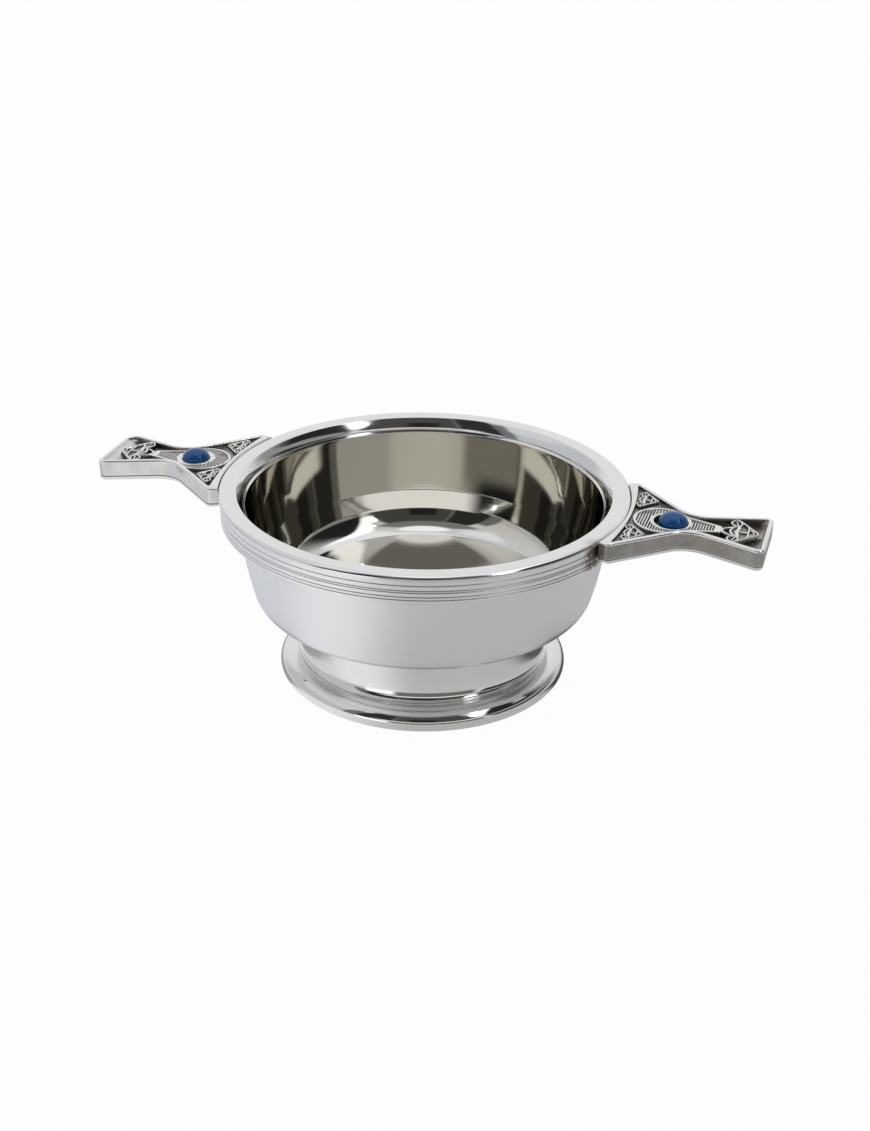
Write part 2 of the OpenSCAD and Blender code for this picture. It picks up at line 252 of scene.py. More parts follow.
def bowl_finish():
    """Satin outside and a mirror inside, shared out by the polish mark.

    The mirror is painted darker and warmer on the wall than on the floor, a painted reflection of the olive
    room that the wall faces. Clouds and grain vary the colour and the roughness a little, and the lathe's
    rings tilt the normal.
    """
    made, wire, shader, place = new_finish("pewter_bowl_finish")
    inside = mark(wire, "polish")
    cloud = noise(wire, place, 45.0, 3.0)
    grain = noise(wire, place, 1600.0, 3.0, 0.6)
    rings = noise(wire, ring_place(wire, place, 900.0), 1.0, 3.0, 0.6)
    satin = (0.7 * cloud + 0.3 * grain).between(colour(0.78, 0.785, 0.80), colour(0.86, 0.865, 0.88))
    low = wire.node("ShaderNodeSeparateXYZ", {}, {0: place}, 2).ease(WARM_ABOVE, NEUTRAL_BELOW)
    # painted reflection: the wall's mirror is darker and warmer than the floor's, for the olive room it
    # reflects
    wall = cloud.between(colour(0.635, 0.617, 0.55), colour(0.68, 0.662, 0.595))
    mirror = low.between(wall, colour(0.74, 0.74, 0.735))
    feed(shader, Metallic=1.0, Base_Color=inside.between(satin, mirror),
         Roughness=inside * (0.035 + 0.03 * cloud) + (1 - inside) * (0.28 + 0.10 * grain),
         Normal=bump(wire, inside * rings + (1 - inside) * (0.5 * rings + grain), 0.00002, 0.12))
    return made


outer_face, under_r = three_arcs(BOWL_EDGE_R, BOWL_EDGE_Z, BOWL_BOTTOM_Z, SIDE_LEAN, TURN_R, UNDER_RISE)
inner_side = [BOWL_EDGE_R - BOWL_WALL, BOWL_EDGE_Z - INSIDE_DROP] + bent_line(INSIDE_LEANS, INSIDE_RUNS, 24)
floor_rise = 90 - INSIDE_LEANS[-1]
floor_r = inner_side[-1, 0] / math.sin(math.radians(floor_rise))
inner_floor = arc((0, inner_side[-1, 1] + floor_r * math.cos(math.radians(floor_rise))), floor_r, floor_r,
                  floor_rise - 90, -90, 50)
inner_floor[-1, 0] = 0
edge_round = arc((BOWL_EDGE_R - BOWL_WALL + BOWL_EDGE_ROUND, BOWL_EDGE_Z - BOWL_EDGE_ROUND),
                 BOWL_EDGE_ROUND, BOWL_EDGE_ROUND, 90, 180, 5)
bowl_section = np.concatenate([outer_face, edge_round, inner_side, inner_floor[1:]])
bowl_polish = np.r_[np.zeros(len(outer_face)), np.ones(len(bowl_section) - len(outer_face))]
bowl = add_piece("turned_bowl", *turned(bowl_section, True), "pewter_bowl", ["bowl"],
                 {"polish": marks_on(bowl_polish, TURNS, True)})
bowl.data.materials.append(bowl_finish())


# The rim: a rounded pewter lip soldered on the bowl's edge, over a band turned with fine reeds.
# The lip is polished bright and runs down to the bowl's inside in a small hollow, and the band is satin.
# The reeds' grooves are a little darker, the band's top under the lip is darkened as painted shade,
# and brown stains stay beside the lugs from soldering them on.
RIM_R, RIM_Z, LIP_EDGE, LIP_FLAT_R, LIP_LEG_R = 49.99, 48.6, 1.0, 46.0, 46.45
LIP_STEP, LIP_ARRIS, LIP_EASE = 0.25, 0.05, 0.15
LIP_LEANS = (90, 32, 27, 24, 18, 15, 5, 30, 32, 10)
LIP_RUNS = (0.4, 1.4, 0.15, 1.0, 0.4, 0.25, 0.25, 0.5, 0.25)
LIP_UNDER_Z = RIM_Z - LIP_EDGE
LIP_FOOT = (43.63, 45.0)
BAND_R, BAND_INNER_R, BAND_Z, BAND_ROUND = 49.55, 45.55, 41.6, 0.6
BAND_TOP_DROP, BAND_TOP_IN, BAND_GAP, BAND_CLEAR = 0.2, 0.08, 0.02, 0.1
GROOVE_Z, GROOVE_W, GROOVE_D = np.array([42.75, 43.5, 44.55, 45.05, 46.25]), 0.3, 0.12
LUG_ROOT_R, LUG_ROOT_HALF = 50.1, 17.7
LUG_HALF_ANGLE = math.asin(LUG_ROOT_HALF / LUG_ROOT_R)
STAIN_AT = (0.0460, -0.0185, 0.0450)


def rim_finish(name, gloss):
    """Pale metal with clouds, darker where the groove mark is 1, and browned in specks.

    The groove mark darkens the reeds' grooves, and on the band's top under the lip it is painted shade.
    The specks gather where the turn from the lugs' axis is within a lug's half angle, below the lip's
    top, and within a few millimetres of one burnt spot by the right lug.
    """
    made, wire, shader, place = new_finish(name)
    groove = mark(wire, "groove")
    x, y, z = (wire.node("ShaderNodeSeparateXYZ", {}, {0: place}, k) for k in range(3))
    turn = wire.math("ARCTAN2", wire.math("ABSOLUTE", y), wire.math("ABSOLUTE", x))
    by_lug = 1 - turn.ease(LUG_HALF_ANGLE - 0.02, LUG_HALF_ANGLE + 0.06)
    by_lug = by_lug * z.ease(0.0488, 0.0470)
    reach = wire.node("ShaderNodeVectorMath", {"operation": "DISTANCE"}, {0: place, 1: STAIN_AT}, "Value")
    cloud = noise(wire, place, 60.0, 3.0)
    specks = noise(wire, place, 900.0, 4.0, 0.65)
    burnt = (1 - reach.ease(0.0018, 0.0050)) * specks.ease(0.34, 0.50)
    dark_share = wire.math("MAXIMUM", by_lug * specks.ease(0.60, 0.72) * 0.7, burnt)
    rings = noise(wire, ring_place(wire, place, 1400.0), 1.0, 3.0, 0.6)
    metal = cloud.between(colour(0.80, 0.80, 0.805), colour(0.87, 0.87, 0.875))
    aged = (dark_share * 0.85).between(metal, colour(0.13, 0.085, 0.05))
    # the groove mark's dark colour: darker grooves, and painted shade under the lip's overhang
    feed(shader, Metallic=1.0, Base_Color=(groove * 0.48).between(aged, colour(0.22, 0.20, 0.18)),
         Roughness=gloss + 0.05 * cloud + 0.25 * dark_share + 0.2 * groove,
         Normal=bump(wire, rings, 0.00002, 0.10))
    return made


lip_low = [[LIP_FOOT[0] + LIP_STEP, LIP_FOOT[1] - LIP_ARRIS], [LIP_LEG_R, BOWL_EDGE_Z],
           [LIP_LEG_R, LIP_UNDER_Z], [RIM_R - LIP_STEP, LIP_UNDER_Z]]
lip_outer = arc((RIM_R - LIP_EDGE, LIP_UNDER_Z + LIP_ARRIS), LIP_EDGE, LIP_EDGE - LIP_ARRIS, 0, 90, 14)
lip_inner = bent_line(LIP_LEANS, LIP_RUNS, 6)
lip_inner = [LIP_FLAT_R, RIM_Z] + lip_inner * (np.subtract(LIP_FOOT, [LIP_FLAT_R, RIM_Z]) / lip_inner[-1])
lip_flat = [[RIM_R - LIP_EDGE - LIP_EASE, RIM_Z], [LIP_FLAT_R + LIP_EASE, RIM_Z]]
lip_section = np.concatenate([lip_low, lip_outer, lip_flat, lip_inner])
lip = add_piece("rim_lip_ring", *turned(lip_section, False), "pewter_rim", ["rim_lip"],
                {"groove": np.zeros(TURNS * len(lip_section))})
lip.data.materials.append(rim_finish("pewter_lip_finish", 0.07))

groove_shape = np.array([[0, -0.72], [0, -0.5], [-0.35, -0.3], [-0.85, -0.1], [-1, 0],
                         [-0.85, 0.1], [-0.35, 0.3], [0, 0.5], [0, 0.72]])
# how much darker each point across a groove is
groove_darkening = np.array([0, 0, 0.5, 0.9, 1, 0.9, 0.5, 0, 0])
reeds = np.array([BAND_R, 0]) + groove_shape * [GROOVE_D, GROOVE_W] + np.stack(
    [0 * GROOVE_Z, GROOVE_Z], 1)[:, None]
band_low = arc((BAND_R - BAND_ROUND, BAND_Z + BAND_ROUND), BAND_ROUND, BAND_ROUND, -90, 0, 8)
band_top = [[BAND_R, LIP_UNDER_Z - BAND_TOP_DROP], [BAND_R - BAND_TOP_IN, LIP_UNDER_Z - BAND_GAP],
            [LIP_LEG_R + BAND_CLEAR, LIP_UNDER_Z - BAND_GAP],
            [LIP_LEG_R + BAND_CLEAR, BOWL_EDGE_Z - BAND_CLEAR], [BAND_INNER_R, BOWL_EDGE_Z - BAND_CLEAR]]
band_section = np.concatenate([[[BAND_INNER_R, BAND_Z]], band_low, reeds.reshape(-1, 2), band_top])
# painted shade on the band's top, in the gap under the lip's overhang
band_top_painted_shade = [0.0, 0.6, 0.8, 0, 0]
band_darkening = np.r_[np.zeros(1 + len(band_low)), np.tile(groove_darkening, len(GROOVE_Z)), band_top_painted_shade]
band = add_piece("reeded_rim_band", *turned(band_section, False), "pewter_rim", ["reeded_band"],
                 {"groove": marks_on(band_darkening, TURNS, False)})
band.data.materials.append(rim_finish("pewter_band_finish", 0.20))


# The solder: thin seams of soft solder that hold the rim, the foot and the lugs to the bowl.
# They browned in the heat and were left unpolished. Each keeps the frame's own solid.
def solder_finish():
    """Dull metal, with small lumps that run from nearly black to brown."""
    made, wire, shader, place = new_finish("solder_finish")
    lumps = noise(wire, place, 700.0, 4.0, 0.6)
    feed(shader, Metallic=0.6, Base_Color=lumps.between(colour(0.05, 0.03, 0.02), colour(0.26, 0.21, 0.17)),
         Roughness=0.4 + 0.25 * lumps, Normal=bump(wire, lumps, 0.00015, 0.5))
    return made


solder_material = solder_finish()
for joint in ("rim_solder", "foot_solder", "lug_solder_left", "lug_solder_right"):
    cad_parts[joint].data.materials.clear()
    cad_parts[joint].data.materials.append(solder_material)


# The foot: a spun pewter cove, soldered under the bowl by its neck.
# It stands on a moulded base ring. Both are polished as bright as the bowl's inside,
# and a fine step shows where the cove's flange lies on the ring.
FOOT_R, BASE_H, BASE_W, BASE_EDGE, BASE_LEDGE = 35.95, 5.3, 7.0, 2.0, 0.35
FLANGE_R, FLANGE_T, FLANGE_SEAT, COVE_W, FOOT_WALL = 31.2, 0.8, 2.0, 1.9, 1.6
NECK_STRAIGHT, FOOT_JOINT, FLANGE_ROUND, BASE_EASE = 0.6, 0.3, 0.22, 0.2


def rounded(corners, radii, steps=7, lead=0.12):
    """A closed outline with its corners as arcs.

    Each arc's centre is on the corner's bisector at r / sin(half the angle), and it touches the
    sides at r / tan(half the angle). One more point, lead further along each side, keeps them flat.
    """
    corners = np.asarray(corners, float)
    r = np.asarray(radii, float)[:, None]
    unit = lambda v: v / np.linalg.norm(v, axis=1, keepdims=True)
    back = unit(np.roll(corners, 1, 0) - corners)
    ahead = unit(np.roll(corners, -1, 0) - corners)
    half = np.arccos(np.clip((back * ahead).sum(1, keepdims=True), -1, 1)) / 2
    touch = r / np.tan(half)
    centre = corners + unit(back + ahead) * r / np.sin(half)
    s = np.linspace(0, 1, steps)[None, :, None]
    swing = (np.pi - 2 * half)[:, None]
    start = (corners + back * touch - centre)[:, None]
    end = (corners + ahead * touch - centre)[:, None]
    bend = centre[:, None] + (np.sin((1 - s) * swing) * start + np.sin(s * swing) * end) / np.sin(swing)
    before = (corners + back * (touch + lead))[:, None]
    after = (corners + ahead * (touch + lead))[:, None]
    return np.concatenate([before, bend, after], axis=1).reshape(-1, 2)


def foot_finish():
    """Bright metal with faint clouds and the fine rings of spinning and polishing."""
    made, wire, shader, place = new_finish("pewter_foot_finish")
    cloud = noise(wire, place, 60.0, 3.0)
    rings = noise(wire, ring_place(wire, place, 1100.0), 1.0, 3.0, 0.6)
    feed(shader, Metallic=1.0, Base_Color=cloud.between(colour(0.78, 0.778, 0.76), colour(0.85, 0.848, 0.83)),
         Roughness=0.045 + 0.04 * cloud, Normal=bump(wire, rings, 0.00002, 0.08))
    return made


def under_z(r):
    """Height of the bowl's underside at radius r: bottom + R, less the root of R squared - r squared."""
    return BOWL_BOTTOM_Z + under_r - math.sqrt(under_r ** 2 - r * r)


neck_r, seat_in_r = FLANGE_R - COVE_W, FLANGE_R - FLANGE_SEAT
neck_in_r = neck_r - FOOT_WALL
neck_z, neck_in_z = under_z(neck_r) - FOOT_JOINT, under_z(neck_in_r) - FOOT_JOINT
cove_z = neck_in_z - NECK_STRAIGHT
cove = arc((FLANGE_R, cove_z), COVE_W, cove_z - BASE_H - FLANGE_T, 270, 180, 60)
flange_corners = [[FLANGE_R, BASE_H], [FLANGE_R, BASE_H + FLANGE_T], [FLANGE_R - 1, BASE_H + FLANGE_T]]
flange = rounded(flange_corners, [0.05, FLANGE_ROUND, 0.05], lead=0.03).reshape(3, -1, 2)[1]
hollow = arc((seat_in_r, cove_z), seat_in_r - neck_in_r, cove_z - BASE_H, 180, 270, 30)
foot_section = np.concatenate([[[FLANGE_R, BASE_H]], flange, cove[8:],
                               [[neck_r, neck_z], [neck_in_r, neck_in_z]], hollow])
foot_material = foot_finish()
foot = add_piece("spun_foot_cove", *turned(foot_section, False), "pewter_foot", ["foot"], {})
foot.data.materials.append(foot_material)

moulding_r = FLANGE_R + BASE_LEDGE
base_inner_r = FOOT_R - BASE_W
ring_low = arc((FOOT_R - BASE_EDGE, BASE_EDGE), BASE_EDGE, BASE_EDGE, -90, 0, 16)
ovolo = arc((moulding_r, BASE_EDGE), FOOT_R - moulding_r, BASE_H - BASE_EDGE, 0, 90, 40)
base_section = np.concatenate([[[base_inner_r, 0], [FOOT_R - BASE_EDGE - BASE_EASE, 0]], ring_low, ovolo[1:],
                               [[base_inner_r, BASE_H]]])
base = add_piece("moulded_base_ring", *turned(base_section, False), "pewter_foot", ["base_ring"], {})
base.data.materials.append(foot_material)


# The two lugs: flat pewter castings, soldered by their hollowed roots to the rim.
# The sunk face is stained dark and the raised work is rubbed bright: a border, knots,
# and a panel round the stone with a hatched ground and a stem that ends in a fork.
LUG_Z, LUG_DROOP, LUG_T, LUG_HEEL, LUG_LEN, LUG_TIP_HALF = 48.6, 1.4, 5.3, 2.65, 33.2, 10.2
WAIST_AT, WAIST_HALF, WAIST_R, HEEL_ROUND, TIP_ROUND, ROOT_ROUND = 14.9, 4.15, 7.5, 1.5, 1.6, 0.05
SIDE_POINTS, ROOT_POINTS = 8, 40
REAR_ROUND = {"left": 3.0, "right": 1.6}
REAR_FIELD_ROUND = {"left": 1.9, "right": 0.6}
RAMP_W = {"left": 2.6, "right": 1.8}
# painted shade: how dark the lugs' side walls are, darker on the right lug, which faces the dark room
WALL_PAINTED_SHADE = {"left": 0.40, "right": 0.70}
BORDER_W, ROOT_BORDER, ROOT_BORDER_R, FIELD_ROUND, FIELD_HEEL_ROUND = 1.1, 0.9, 90.0, 0.6, 0.2
FIELD_HEEL_X, FIELD_HEEL_HALF, FIELD_ROOT_HALF = -0.745, 17.13, 16.2
FIELD_DEPTH, FIELD_SLOPE, PANEL_Z = 0.9, math.tan(math.radians(1.5)), -0.4
RAMP_Z, RAMP_SIDE, FIELD_TOP_Z, BURIED_Z = -0.42, 1.5, -0.2, -2.4
SEAT_AT, SEAT_R, SEAT_Z, SEAT_RING_R, SEAT_CLEAR, SEAT_SKIN = 10.3, 4.05, -2.0, 4.9, 0.15, 0.02
RING_IN_R = {"left": 3.5, "right": 4.05}
DISC_AT, DISC_R, STEM_ROOT_HALF, STEM_TIP_HALF, STEM_END = 8.2, 6.85, 4.2, 1.6, 22.1
GROUND_Z, HATCH_PITCH, HATCH_W, HATCH_START, HATCH_END, HATCH_LEAST = -0.74, 0.66, 0.28, 0.75, 20.9, 0.3
EDGE_LINE, STEM_FROM, STEM_MEETS = 0.62, 4.6, 5.41


def sided(corners, radii, root):
    """A rounded outline with even points along each side, and its last side on the root's circle.

    On that circle a point is (centre + radius cos a, radius sin a).
    """
    bends = rounded(corners, radii).reshape(len(corners), -1, 2)
    s = np.linspace(0, 1, SIDE_POINTS + 2)[1:-1][None, :, None]
    sides = bends[:-1, -1:] * (1 - s) + bends[1:, :1] * s
    body = np.concatenate([bends[:-1], sides], axis=1).reshape(-1, 2)
    centre, radius = root
    start, end = bends[-1, -1], bends[0, 0]
    a0, a1 = (math.asin(p[1] / radius) for p in (start, end))
    a = np.linspace(a0, a1, ROOT_POINTS + 2)[1:-1]
    swing = np.column_stack([centre + radius * np.cos(a), radius * np.sin(a)])
    return np.concatenate([body, bends[-1], swing])


def inset_corners(corners, distance):
    """The corners of an anticlockwise outline, with each side moved in by a distance.

    A corner between sides with normals n and m moves by distance (n + m) / (1 + n . m).
    """
    p = np.asarray(corners, float)
    unit = lambda v: v / np.linalg.norm(v, axis=1, keepdims=True)
    e, f = unit(p - np.roll(p, 1, 0)), unit(np.roll(p, -1, 0) - p)
    ne, nf = np.stack([-e[:, 1], e[:, 0]], 1), np.stack([-f[:, 1], f[:, 0]], 1)
    return p + distance * (ne + nf) / (1 + (ne * nf).sum(1, keepdims=True))


def mirrored(half):
    """Points on one side of a lug's axis, followed by their mirror images in turn."""
    half = np.asarray(half, float)
    return np.concatenate([half * [1, -1], half[::-1]])


out_dir = np.array([math.cos(LUG_HALF_ANGLE), math.sin(LUG_HALF_ANGLE)])
root_corner, heel_corner = (out_dir * (LUG_ROOT_R + d) - [LUG_ROOT_R, 0] for d in (0, LUG_HEEL))
lug_corners = mirrored([root_corner, heel_corner, [WAIST_AT, WAIST_HALF], [LUG_LEN, LUG_TIP_HALF]])
field_corners = inset_corners(lug_corners, BORDER_W)
field_root_x = ROOT_BORDER - ROOT_BORDER_R + math.sqrt(ROOT_BORDER_R ** 2 - FIELD_ROOT_HALF ** 2)
field_corners[[1, 6]] = [[FIELD_HEEL_X, s * FIELD_HEEL_HALF] for s in (-1, 1)]
field_corners[[0, 7]] = [[field_root_x, s * FIELD_ROOT_HALF] for s in (-1, 1)]


def outlines(side):
    """The lug's outline and its field's outline, point for point.

    Both are rounded corner by corner from the root round the tip and back, and the rear corner of the
    tip has that lug's own radius.
    """
    outer = [ROOT_ROUND, HEEL_ROUND, WAIST_R, REAR_ROUND[side], TIP_ROUND, WAIST_R, HEEL_ROUND, ROOT_ROUND]
    waist = WAIST_R + BORDER_W
    inner = [ROOT_ROUND, FIELD_HEEL_ROUND, waist, REAR_FIELD_ROUND[side], FIELD_ROUND, waist,
             FIELD_HEEL_ROUND, ROOT_ROUND]
    return (sided(lug_corners, outer, (-LUG_ROOT_R, LUG_ROOT_R)),
            sided(field_corners, inner, (ROOT_BORDER - ROOT_BORDER_R, ROOT_BORDER_R)))


def floor_z(x):
    """Height of the sunk field's floor: less its depth and x times its slope, so that it falls to the tip."""
    return -(FIELD_DEPTH + np.asarray(x) * FIELD_SLOPE)


def casting(side):
    """The lug's body: loops carried from the middle of the underside to the bottom of the seat.

    The underside rounds up to a fine groove, the side rounds over into the border, the border drops to
    the field's floor, and the floor runs in to the seat's circle. At the tip the floor ramps up towards
    the border. Between the outer outline and the field's outline a loop lies a share f of the way in.
    Each loop has a height, and a mark of stain and painted shade for each of its points: the side
    wall's value is painted shade, and the floor beside the border is darker as painted shade.
    """
    outer, inner = outlines(side)
    seat = np.array([SEAT_AT, 0])
    away = inner - seat
    away = away / np.linalg.norm(away, axis=1, keepdims=True)
    loops = []

    def loop(xy, z, stain_and_shade):
        """Adds a loop, with a height and a mark for it all or for each point."""
        whole = np.ones(len(outer))
        loops.append((np.column_stack([np.broadcast_to(xy, outer.shape), z * whole]), stain_and_shade * whole))

    def span(f):
        """The loop that lies a share f of the way in."""
        return outer * (1 - f) + inner * f

    def floor(xy, lift, stain_and_shade):
        """Adds a loop on the field's floor, which blends into the ramp's height towards the tip."""
        ramp = np.clip((xy[:, 0] - LUG_LEN + BORDER_W + RAMP_W[side]) / RAMP_W[side], 0, 1)
        ramp = ramp * np.clip((LUG_TIP_HALF - np.abs(xy[:, 1])) / RAMP_SIDE, 0, 1)
        loop(xy, np.minimum(floor_z(xy[:, 0]) * (1 - ramp) + RAMP_Z * ramp + lift, FIELD_TOP_Z),
             stain_and_shade * (1 - 0.62 * np.minimum(2.5 * ramp, 1)))

    q, wall = np.radians(np.linspace(0, 90, 7)), WALL_PAINTED_SHADE[side]
    loop(seat, -LUG_T, 0.3)
    loop(span(1.6), -LUG_T, 0.3)
    for a in q:
        loop(span(0.78 * (1 - math.sin(a))), -LUG_T + 1.0 * (1 - math.cos(a)), 0.12)
    # the side wall takes the painted shade value, and the fine groove near the bottom is darker
    for f, z, stain_and_shade in ((0.0, -4.25, 0.3), (0.07, -4.2, 0.9), (0.09, -4.12, 1.0), (0.07, -4.04, 0.8),
                       (0.0, -3.96, 0.2), (0.0, -3.8, wall), (0.0, -2.4, wall), (0.0, -0.6, wall)):
        loop(span(f), z, stain_and_shade)
    for a in q:
        loop(span(0.42 * (1 - math.cos(a))), -0.45 * (1 - math.sin(a)), 0.05)
    for f, z, stain_and_shade in ((0.8, 0.0, 0.0), (0.9, -0.02, 0.08), (0.97, -0.08, 0.3), (1.0, -0.2, 0.6)):
        loop(span(f), z, stain_and_shade)
    # the floor beside the border is darkest: painted shade in the corner, over the field's stain
    floor(inner, 0.22, 0.9)
    for d in (0.07, 0.25, 0.8, 1.5, 2.3):
        floor(inner - away * d, 0.06 * (d < 0.1), 1.0 if d < 0.5 else 0.8)
    circle = seat + away * (SEAT_R + SEAT_CLEAR)
    loop(circle, floor_z(circle[:, 0]), 1.0)
    loop(circle, SEAT_Z - SEAT_SKIN, 1.0)
    loop(seat, SEAT_Z - SEAT_SKIN, 1.0)
    grid = np.stack([xyz for xyz, _ in loops], axis=1)
    return (*skin(grid, True), marks_on(np.stack([d for _, d in loops], axis=1), len(outer), True))


def panel_reach(turn, inset):
    """How far the panel, moved in by inset, reaches from the seat's centre at each turn.

    It is the further of its disc, a circle beside the seat's centre, and its stem, which lies between
    two straight sides that draw together and ends square.
    """
    c, s, level = np.cos(turn), np.abs(np.sin(turn)), 0.05
    off = SEAT_AT - DISC_AT
    disc = -off * c + np.sqrt((DISC_R - inset) ** 2 - (off * s) ** 2)
    root_x = DISC_AT + math.sqrt(DISC_R ** 2 - STEM_ROOT_HALF ** 2) - SEAT_AT
    end_x = STEM_END - SEAT_AT
    taper = (STEM_ROOT_HALF - STEM_TIP_HALF) / (end_x - root_x)
    ahead = np.maximum(c, level)
    edge = (STEM_ROOT_HALF + taper * root_x - inset * math.hypot(1, taper)) / (s + taper * ahead)
    stem = np.minimum(edge, (end_x - 2.5 * inset) / ahead)
    return np.where(c > level, np.maximum(disc, stem), disc)


def panel(side):
    """The panel: a ring of loops round the seat's centre, each a reach, a height and a stain-and-shade mark.

    They run from its foot, over its bright edge line and its hatched ground, over the plain ring round
    the seat, and down the seat's wall. Their points are closest along the stem.
    """
    deg = np.concatenate([np.linspace(-8, 8, 33)[:-1], np.linspace(8, 60, 61)[:-1],
                          np.linspace(60, 300, 120)[:-1], np.linspace(300, 352, 61)[:-1]])
    turn = np.radians(deg)
    ring_in = RING_IN_R[side]
    edge = [(0, BURIED_Z, 0.9), (0, -1.0, 0.75), (0, PANEL_Z - 0.14, 0.3), (0.05, PANEL_Z - 0.04, 0.05),
            (0.14, PANEL_Z, 0), (0.56, PANEL_Z, 0), (0.64, PANEL_Z - 0.05, 0.3), (0.68, GROUND_Z, 1.0)]
    ring = [(SEAT_RING_R + 0.02, GROUND_Z, 1.0), (SEAT_RING_R - 0.04, PANEL_Z - 0.04, 0.2),
            (SEAT_RING_R - 0.14, PANEL_Z, 0), (ring_in + 0.2, PANEL_Z, 0),
            (ring_in + 0.06, PANEL_Z - 0.04, 0.1), (ring_in, PANEL_Z - 0.16, 0.5), (ring_in, BURIED_Z, 1)]
    reach = [(panel_reach(turn, f), z, d) for f, z, d in edge]
    reach += [(np.full(len(turn), r), z, d) for r, z, d in ring]
    grid = np.stack([np.column_stack([SEAT_AT + r * np.cos(turn), r * np.sin(turn), np.full(len(turn), z)])
                     for r, z, _ in reach], axis=1)
    return (*skin(grid, False), marks_on([d for _, _, d in reach], len(grid), False))


def strand(path, width, base, top, closed=False):
    """A ridge along a path, from height base to height top.

    Its section is a flat-bottomed bead, set square to the path: shares of the width across, and of the
    height. A closed path closes on itself, and an open one draws together at both ends.
    """
    if closed:
        ahead = np.roll(path, -1, 0) - np.roll(path, 1, 0)
    else:
        ahead = np.gradient(path, axis=0)
    ahead = ahead / np.linalg.norm(ahead, axis=1, keepdims=True)
    side = np.stack([ahead[:, 1], -ahead[:, 0]], 1)
    width, base, top = (np.broadcast_to(v, len(path)) for v in (width, base, top))
    spread = np.array([-0.8, 0.8, 0.54, 0.38, 0.0, -0.38, -0.54]) * width[:, None]
    share = np.array([0, 0, 0.78, 0.95, 1, 0.95, 0.78])
    # the bead is darker at its foot than on its top
    stain_and_shade = np.array([1, 1, 0.4, 0.05, 0, 0.05, 0.4])
    xy = path[:, None] + side[:, None] * spread[:, :, None]
    z = base[:, None] * (1 - share) + top[:, None] * share
    grid = np.concatenate([xy, z[:, :, None]], axis=2)
    if closed:
        return (*skin(grid[::-1], False), np.tile(stain_and_shade, len(path)))
    ends = [np.column_stack([np.tile(path[k], (7, 1)), np.full(7, base[k])]) for k in (0, -1)]
    grid = np.concatenate([ends[0][None], grid, ends[1][None]]).transpose(1, 0, 2)
    return (*skin(grid, True), np.concatenate([[1], np.repeat(stain_and_shade, len(path)), [1]]))


def along(points, steps, closed=False):
    """A smooth path through a few points: straight runs softened by repeated averaging."""
    p = np.asarray(points, float)
    if closed:
        p = np.concatenate([p, p[:1]])
    length = np.r_[0, np.cumsum(np.linalg.norm(np.diff(p, axis=0), axis=1))]
    s = np.linspace(0, length[-1], steps, endpoint=not closed)
    path = np.column_stack([np.interp(s, length, p[:, k]) for k in (0, 1)])
    for _ in range(steps // 8):
        soft = (np.roll(path, 1, 0) + 2 * path + np.roll(path, -1, 0)) / 4
        if not closed:
            soft[[0, -1]] = path[[0, -1]]
        path = soft
    return path


KNOT_AT, KNOT_BED_Z, KNOT_BED_EDGE_Z, KNOT_FOOT_Z, KNOT_BED_DIRT = 24.1, -0.72, -0.82, -0.85, 0.75
KNOT_EDGE = [(25.0, 6.5), (26.6, 5.0), (28.2, 3.1), (29.6, 1.5), (30.9, 0)]
KNOT_LOBE = [(25.2, 6.5), (26.3, 5.0), (26.5, 3.7), (25.9, 2.8),
             (25.2, 2.5), (24.3, 3.4), (23.75, 4.4), (24.4, 5.6)]
KNOT_VEIN = [(25.0, 5.6), (25.3, 4.4), (25.6, 3.3)]
KNOT_BAR = [(28.15, 3.0), (28.35, 1.5), (28.3, 0)]
KNOT_EYE = [(28.7, 1.6), (29.45, 0.9), (29.6, 0)]
KNOT_WAVE = [(25.2, 2.5), (24.5, 1.5), (24.1, 0)]
KNOT_RIBBON = [(25.9, 3.3), (26.0, 1.8), (25.6, 0.2)]
KNOT_BED = [(24.2, 0), (24.9, -2.3), (23.7, -4.4), (25.0, -6.7), (27.2, -4.5), (31.0, 0)]
ROOT_KNOT_AT, ROOT_KNOT_OUT, ROOT_KNOT_SCALE, ROOT_KNOT_WIDTH = 1.02, 9.75, (0.695, 0.66), 0.8


def across(half):
    """A line that ends on the axis, carried on as its own mirror image."""
    return half + [(x, -y) for x, y in half[-2::-1]]


